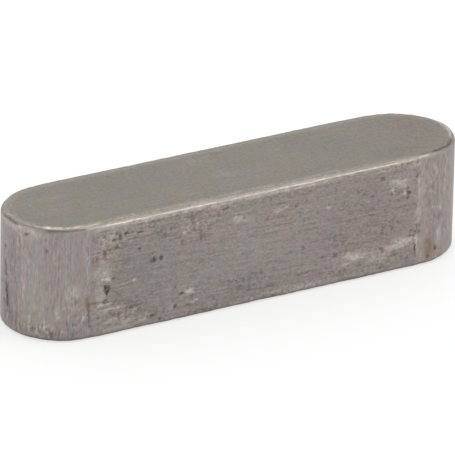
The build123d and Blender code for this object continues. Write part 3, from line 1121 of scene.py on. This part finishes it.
class Nodes:
    """Short calls that add a node to a material's tree and return its output."""

    # A Mix node has its two inputs and its output in other places for each kind of data.
    MIX_SOCKETS = {"FLOAT": (2, 3, 0), "VECTOR": (4, 5, 1), "RGBA": (6, 7, 2)}

    def __init__(self, tree):
        self.tree = tree
        tree.nodes.clear()

    def add(self, kind, **settings):
        node = self.tree.nodes.new(kind)
        for name, value in settings.items():
            setattr(node, name, value)
        return node

    def feed(self, socket, value):
        """Links an output to a socket, or sets the socket to a plain value."""
        if isinstance(value, bpy.types.NodeSocket):
            self.tree.links.new(value, socket)
        elif hasattr(value, "__len__") and len(value) == 3 and socket.type == "RGBA":
            socket.default_value = (*value, 1.0)
        else:
            socket.default_value = value

    def map(self, name):
        """A map of the mesh, by name."""
        return self.add("ShaderNodeAttribute", attribute_name=name).outputs["Fac"]

    def math(self, operation, a, b=0.0, clamp=False):
        node = self.add("ShaderNodeMath", operation=operation, use_clamp=clamp)
        self.feed(node.inputs[0], a)
        self.feed(node.inputs[1], b)
        return node.outputs[0]

    def plus(self, first, *others):
        """The sum of several values."""
        for other in others:
            first = self.math("ADD", first, other)
        return first

    def times(self, first, *others, clamp=False):
        """The product of several values, kept from 0 to 1 where it is clamped."""
        for other in others[:-1]:
            first = self.math("MULTIPLY", first, other)
        return self.math("MULTIPLY", first, others[-1], clamp=clamp)

    def swing(self, value, strength):
        """How far a pattern is from its middle, times a strength."""
        return self.times(self.math("SUBTRACT", value, 0.5), strength)

    def stretched(self, vector, scale):
        node = self.add("ShaderNodeVectorMath", operation="MULTIPLY")
        self.feed(node.inputs[0], vector)
        self.feed(node.inputs[1], scale)
        return node.outputs["Vector"]

    def on_wall(self, along, up, scale):
        """A place on the wall as a vector, stretched each way."""
        node = self.add("ShaderNodeCombineXYZ")
        for socket, value, often in zip(node.inputs, (along, up), scale):
            self.feed(socket, self.times(value, often))
        return node.outputs[0]

    def noise(self, vector, scale, detail, distortion=0.0):
        node = self.add("ShaderNodeTexNoise")
        self.feed(node.inputs["Vector"], vector)
        self.feed(node.inputs["Scale"], scale)
        self.feed(node.inputs["Detail"], detail)
        self.feed(node.inputs["Distortion"], distortion)
        return node.outputs["Fac"]

    def ranged(self, value, from_low, from_high, to_low=0.0, to_high=1.0):
        node = self.add("ShaderNodeMapRange")
        for name, number in (("Value", value), ("From Min", from_low), ("From Max", from_high),
                             ("To Min", to_low), ("To Max", to_high)):
            self.feed(node.inputs[name], number)
        return node.outputs["Result"]

    def mix(self, kind, factor, a, b, blend="MIX"):
        """A value, vector or colour between two others."""
        first, second, result = self.MIX_SOCKETS[kind]
        node = self.add("ShaderNodeMix", data_type=kind)
        if kind == "RGBA":
            node.blend_type = blend
        self.feed(node.inputs[0], factor)
        self.feed(node.inputs[first], a)
        self.feed(node.inputs[second], b)
        return node.outputs[result]

    def value(self, factor, a, b):
        return self.mix("FLOAT", factor, a, b)

    def colour(self, factor, a, b):
        return self.mix("RGBA", factor, a, b)

    def tinted(self, colour, tint):
        """A colour times a tint."""
        return self.mix("RGBA", 1.0, colour, tint, "MULTIPLY")


def steel_material(colours):
    """Plain key steel, drawn, milled, pitted, stained and rubbed, with painted highlights and shade
    on its edges, by the maps of the mesh.
    """
    material = bpy.data.materials.new("key_steel")
    material.use_nodes = True
    n = Nodes(material.node_tree)
    place = n.stretched(n.add("ShaderNodeTexCoord").outputs["Object"], (1 / MM,) * 3)
    milled, flat, along = n.map("milled"), n.map("flat"), n.map("along")
    scruff = n.map("scruff")
    parts = n.add("ShaderNodeSeparateXYZ")
    n.feed(parts.inputs[0], place)
    up = parts.outputs["Z"]

    # Lines along the key on the drawn faces, and upright tool marks on the ends.
    drawn = n.stretched(place, DRAWN_STRETCH)
    drawn = n.noise(drawn, scale=1.0, detail=4.0, distortion=0.3)
    tooled = n.noise(n.on_wall(along, up, TOOLED_STRETCH), scale=1.0, detail=3.0)
    streaks = n.value(milled, drawn, tooled)
    mottle = n.stretched(place, MOTTLE_STRETCH)
    mottle = n.noise(mottle, scale=2.2, detail=4.0, distortion=0.4)
    # The grain runs along the flanks and up the ends.
    lengthwise = n.mix("VECTOR", flat, WALL_GRAIN_STRETCH, FLAT_GRAIN_STRETCH)
    upright = n.on_wall(along, up, UPRIGHT_STRETCH)
    lie = n.mix("VECTOR", milled, n.stretched(place, lengthwise), upright)
    grain = n.noise(lie, scale=8.5, detail=1.5)
    speckle = n.noise(lie, scale=4.6, detail=2.0)
    pink = n.noise(n.stretched(lie, PINK_STRETCH), scale=1.9, detail=3.0)
    yellow = n.noise(n.stretched(lie, YELLOW_STRETCH), scale=1.6, detail=3.0)
    lines = n.ranged(drawn, *DRAWN_TO_LINES)

    # The shade of the bare steel, quieter on the top and the base.
    streaky = n.times(n.value(flat, *STREAK_SHADE_ON_FLAT), n.value(milled, *STREAK_SHARE_ON_END))
    shade = n.plus(
        n.swing(streaks, streaky),
        n.swing(mottle, n.value(milled, *MOTTLE_SHADE)),
        n.swing(grain, GRAIN_SHADE),
        n.swing(speckle, SPECKLE_SHADE),
        n.times(lines, n.value(milled, *LINE_SHADE)))
    shade = n.times(
        shade,
        n.value(scruff, *SCRUFF_GAIN),
        n.value(flat, *SHADE_SHARE_ON_FLAT),
        n.value(milled, *SHADE_SHARE_ON_END))
    shade = n.plus(shade, BASE_SHADE, n.times(n.map("light"), LIGHT_SHADE))
    grey = n.add("ShaderNodeCombineColor")
    for channel in range(3):
        n.feed(grey.inputs[channel], shade)

    # Its colour, which wanders between pink and green and between blue and yellow.
    bare = n.colour(milled, tuple(colours.flank), tuple(colours.end))
    bare = n.colour(flat, bare, tuple(colours.top))
    warmth = n.ranged(n.plus(n.ranged(pink, *PINK_TO_WARMTH), n.map("warm")), *WARMTH_TO_TINT)
    bare = n.tinted(bare, n.colour(warmth, GREENISH, PINKISH))
    bluish = n.colour(flat, WALL_BLUISH, FLAT_BLUISH)
    yellowish = n.colour(flat, WALL_YELLOWISH, FLAT_YELLOWISH)
    bare = n.tinted(bare, n.colour(n.ranged(yellow, *YELLOW_TO_TINT), bluish, yellowish))
    colour = n.tinted(bare, grey.outputs[0])

    # Light and dark specks where the steel is scruffy.
    flecks = n.ranged(n.noise(place, scale=4.2, detail=2.0), *NOISE_TO_FLECKS)
    flecks = n.times(n.times(flecks, scruff, clamp=True), FLECK_SHARE)
    specks = n.ranged(speckle, *SPECKLE_TO_SPECKS)
    specks = n.times(n.times(specks, scruff, clamp=True), SPECK_SHARE)

    # Rubbed patches, stains, dirt and worn edges over it, with the painted highlights, sheen and
    # shade along the edges.
    broken = n.ranged(n.plus(mottle, grain), *MOTTLE_TO_BREAKS)
    rubbed = n.times(n.map("rubbed"), RUB_AND_SHEEN_GAIN, broken, clamp=True)
    rust = n.times(n.map("rust"), broken, clamp=True)
    worn = n.times(n.map("worn"), n.ranged(grain, *GRAIN_TO_WEAR_AND_HIGHLIGHT), clamp=True)
    grime = n.times(n.map("grime"), n.ranged(grain, *GRAIN_TO_GRIME_AND_SHADE), clamp=True)
    for cover, over in ((flecks, colours.rubbed), (specks, colours.grime),
                        (rubbed, colours.rubbed), (rust, colours.rust),
                        (worn, colours.worn), (grime, colours.grime)):
        colour = n.colour(cover, colour, tuple(over))

    roughness = n.plus(n.swing(mottle, ROUGHER_MOTTLE), colours.roughness)
    roughness = n.plus(roughness, n.times(worn, SMOOTHER_WEAR))
    roughness = n.math("ADD", roughness, n.times(grime, ROUGHER_GRIME), clamp=True)

    bump = n.add("ShaderNodeBump")
    n.feed(bump.inputs["Strength"], BUMP_STRENGTH)
    n.feed(bump.inputs["Distance"], BUMP_HEIGHT * MM)
    n.feed(bump.inputs["Height"], n.times(n.plus(streaks, grain), BUMP_SHARE))

    shader = n.add("ShaderNodeBsdfPrincipled")
    shader.inputs["Metallic"].default_value = 1.0
    n.feed(shader.inputs["Base Color"], colour)
    n.feed(shader.inputs["Roughness"], roughness)
    n.feed(shader.inputs["Normal"], bump.outputs[0])
    n.feed(n.add("ShaderNodeOutputMaterial").inputs["Surface"], shader.outputs[0])
    return material


# --------------------------------------------------------------------------------------
# The studio
# --------------------------------------------------------------------------------------

LAMP_DIRECTION = (0.47, -0.40, 0.79)
LAMP_DISTANCE = 0.45  # metres, as all lengths in the studio
CLIP_START, CLIP_END = 0.01, 10


def seen_or_mirrored(n):
    """1 for what the camera sees, straight or in metal or through glass, and 0 for light."""
    rays = n.add("ShaderNodeLightPath").outputs
    seen = n.math("MAXIMUM", rays["Is Camera Ray"], rays["Is Glossy Ray"])
    return n.math("MAXIMUM", seen, rays["Is Transmission Ray"])


def floor_material(studio):
    """A white floor that still takes the key's shadow."""
    material = bpy.data.materials.new("studio_floor")
    material.use_nodes = True
    n = Nodes(material.node_tree)
    matt = n.add("ShaderNodeBsdfDiffuse")
    n.feed(matt.inputs["Color"], (studio.floor_grey,) * 3)
    lift = n.add("ShaderNodeEmission")
    n.feed(lift.inputs["Strength"], n.times(seen_or_mirrored(n), studio.floor_lift))
    both = n.add("ShaderNodeAddShader")
    n.feed(both.inputs[0], matt.outputs[0])
    n.feed(both.inputs[1], lift.outputs[0])
    n.feed(n.add("ShaderNodeOutputMaterial").inputs["Surface"], both.outputs[0])
    return material


def make_floor(studio):
    """A flat square under the key, with its middle under the key's own."""
    half = studio.floor_side / 2
    mesh = bpy.data.meshes.new("studio_floor")
    corners = [(-half, -half, 0), (half, -half, 0), (half, half, 0), (-half, half, 0)]
    mesh.from_pydata(corners, [], [(0, 1, 2, 3)])
    mesh.materials.append(floor_material(studio))
    floor = bpy.data.objects.new("studio_floor", mesh)
    bpy.context.scene.collection.objects.link(floor)


def make_world(studio):
    """White all round: 1 where it is seen, and a plain level where it lights."""
    world = bpy.data.worlds.new("studio_white")
    world.use_nodes = True
    bpy.context.scene.world = world
    n = Nodes(world.node_tree)
    white = n.add("ShaderNodeBackground")
    n.feed(white.inputs["Color"], (1.0, 1.0, 1.0))
    n.feed(white.inputs["Strength"], n.value(seen_or_mirrored(n), studio.sky, 1.0))
    n.feed(n.add("ShaderNodeOutputWorld").inputs["Surface"], white.outputs[0])


def make_lamp(studio):
    """A square soft lamp at the front right, facing the key."""
    data = bpy.data.lights.new("soft_lamp", "AREA")
    data.shape = "SQUARE"
    data.size = studio.lamp_side
    data.energy = studio.lamp_power
    lamp = bpy.data.objects.new("soft_lamp", data)
    towards = Vector(LAMP_DIRECTION).normalized()
    lamp.location = towards * LAMP_DISTANCE
    lamp.rotation_mode = "QUATERNION"
    lamp.rotation_quaternion = towards.to_track_quat("Z", "Y")
    lamp.visible_camera = False
    bpy.context.scene.collection.objects.link(lamp)


def make_camera(studio):
    """A long lens, a little above the key and to its left."""
    a, e = studio.azimuth, studio.elevation
    back = Vector((math.sin(a) * math.cos(e), -math.cos(a) * math.cos(e), math.sin(e)))
    level = (-back).cross(Vector((0, 0, 1))).normalized()
    up = back.cross(level)
    across = level * math.cos(studio.roll) + up * math.sin(studio.roll)
    upright = up * math.cos(studio.roll) - level * math.sin(studio.roll)
    middle = Vector((0, 0, HEIGHT * MM / 2))
    place = middle + back * studio.distance - across * studio.aim_right - upright * studio.aim_up
    data = bpy.data.cameras.new("studio_camera")
    data.lens = studio.lens
    data.clip_start, data.clip_end = CLIP_START, CLIP_END
    camera = bpy.data.objects.new("studio_camera", data)
    turn = Matrix((across, upright, back)).transposed()
    camera.matrix_world = Matrix.Translation(place) @ turn.to_4x4()
    bpy.context.scene.collection.objects.link(camera)
    bpy.context.scene.camera = camera


# --------------------------------------------------------------------------------------
# Operators and panel
# --------------------------------------------------------------------------------------


class MESH_OT_worn_parallel_key(bpy.types.Operator):
    """Make the worn steel key in place of the plain solid"""

    bl_idname = "mesh.worn_parallel_key"
    bl_label = "Make the key"

    def execute(self, context):
        mesh = key_mesh("worn_parallel_key", InMillimetres(context.scene.key_sizes))
        mesh.materials.append(steel_material(context.scene.key_steel))
        key = bpy.data.objects.new("worn_parallel_key", mesh)
        context.scene.collection.objects.link(key)
        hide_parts(NODE)
        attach(key, BODY)
        return {"FINISHED"}


class SCENE_OT_key_studio(bpy.types.Operator):
    """Set up the floor, the soft light and the camera"""

    bl_idname = "scene.key_studio"
    bl_label = "Set up the studio"

    def execute(self, context):
        studio = context.scene.key_studio
        make_floor(studio)
        make_world(studio)
        make_lamp(studio)
        make_camera(studio)
        context.scene.view_settings.view_transform = "Standard"
        return {"FINISHED"}


class VIEW3D_PT_parallel_key(bpy.types.Panel):
    """Lists the two steps, each with its sizes and colours"""

    bl_label = "Parallel key"
    bl_space_type = "VIEW_3D"
    bl_region_type = "UI"
    bl_category = "Key"

    def draw(self, context):
        scene = context.scene
        for operator, groups in (
            (MESH_OT_worn_parallel_key, (scene.key_sizes, scene.key_steel)),
            (SCENE_OT_key_studio, (scene.key_studio,)),
        ):
            box = self.layout.box()
            for group in groups:
                for name in type(group).__annotations__:
                    box.prop(group, name)
            box.operator(operator.bl_idname)


CLASSES = (
    KeySizes,
    SteelColours,
    StudioSizes,
    MESH_OT_worn_parallel_key,
    SCENE_OT_key_studio,
    VIEW3D_PT_parallel_key,
)


def register():
    for cls in CLASSES:
        bpy.utils.register_class(cls)
    bpy.types.Scene.key_sizes = PointerProperty(type=KeySizes)
    bpy.types.Scene.key_steel = PointerProperty(type=SteelColours)
    bpy.types.Scene.key_studio = PointerProperty(type=StudioSizes)


def unregister():
    del bpy.types.Scene.key_studio, bpy.types.Scene.key_steel, bpy.types.Scene.key_sizes
    for cls in reversed(CLASSES):
        bpy.utils.unregister_class(cls)


def main():
    register()
    bpy.ops.mesh.worn_parallel_key()
    bpy.ops.scene.key_studio()


if __name__ == "__main__":
    main()
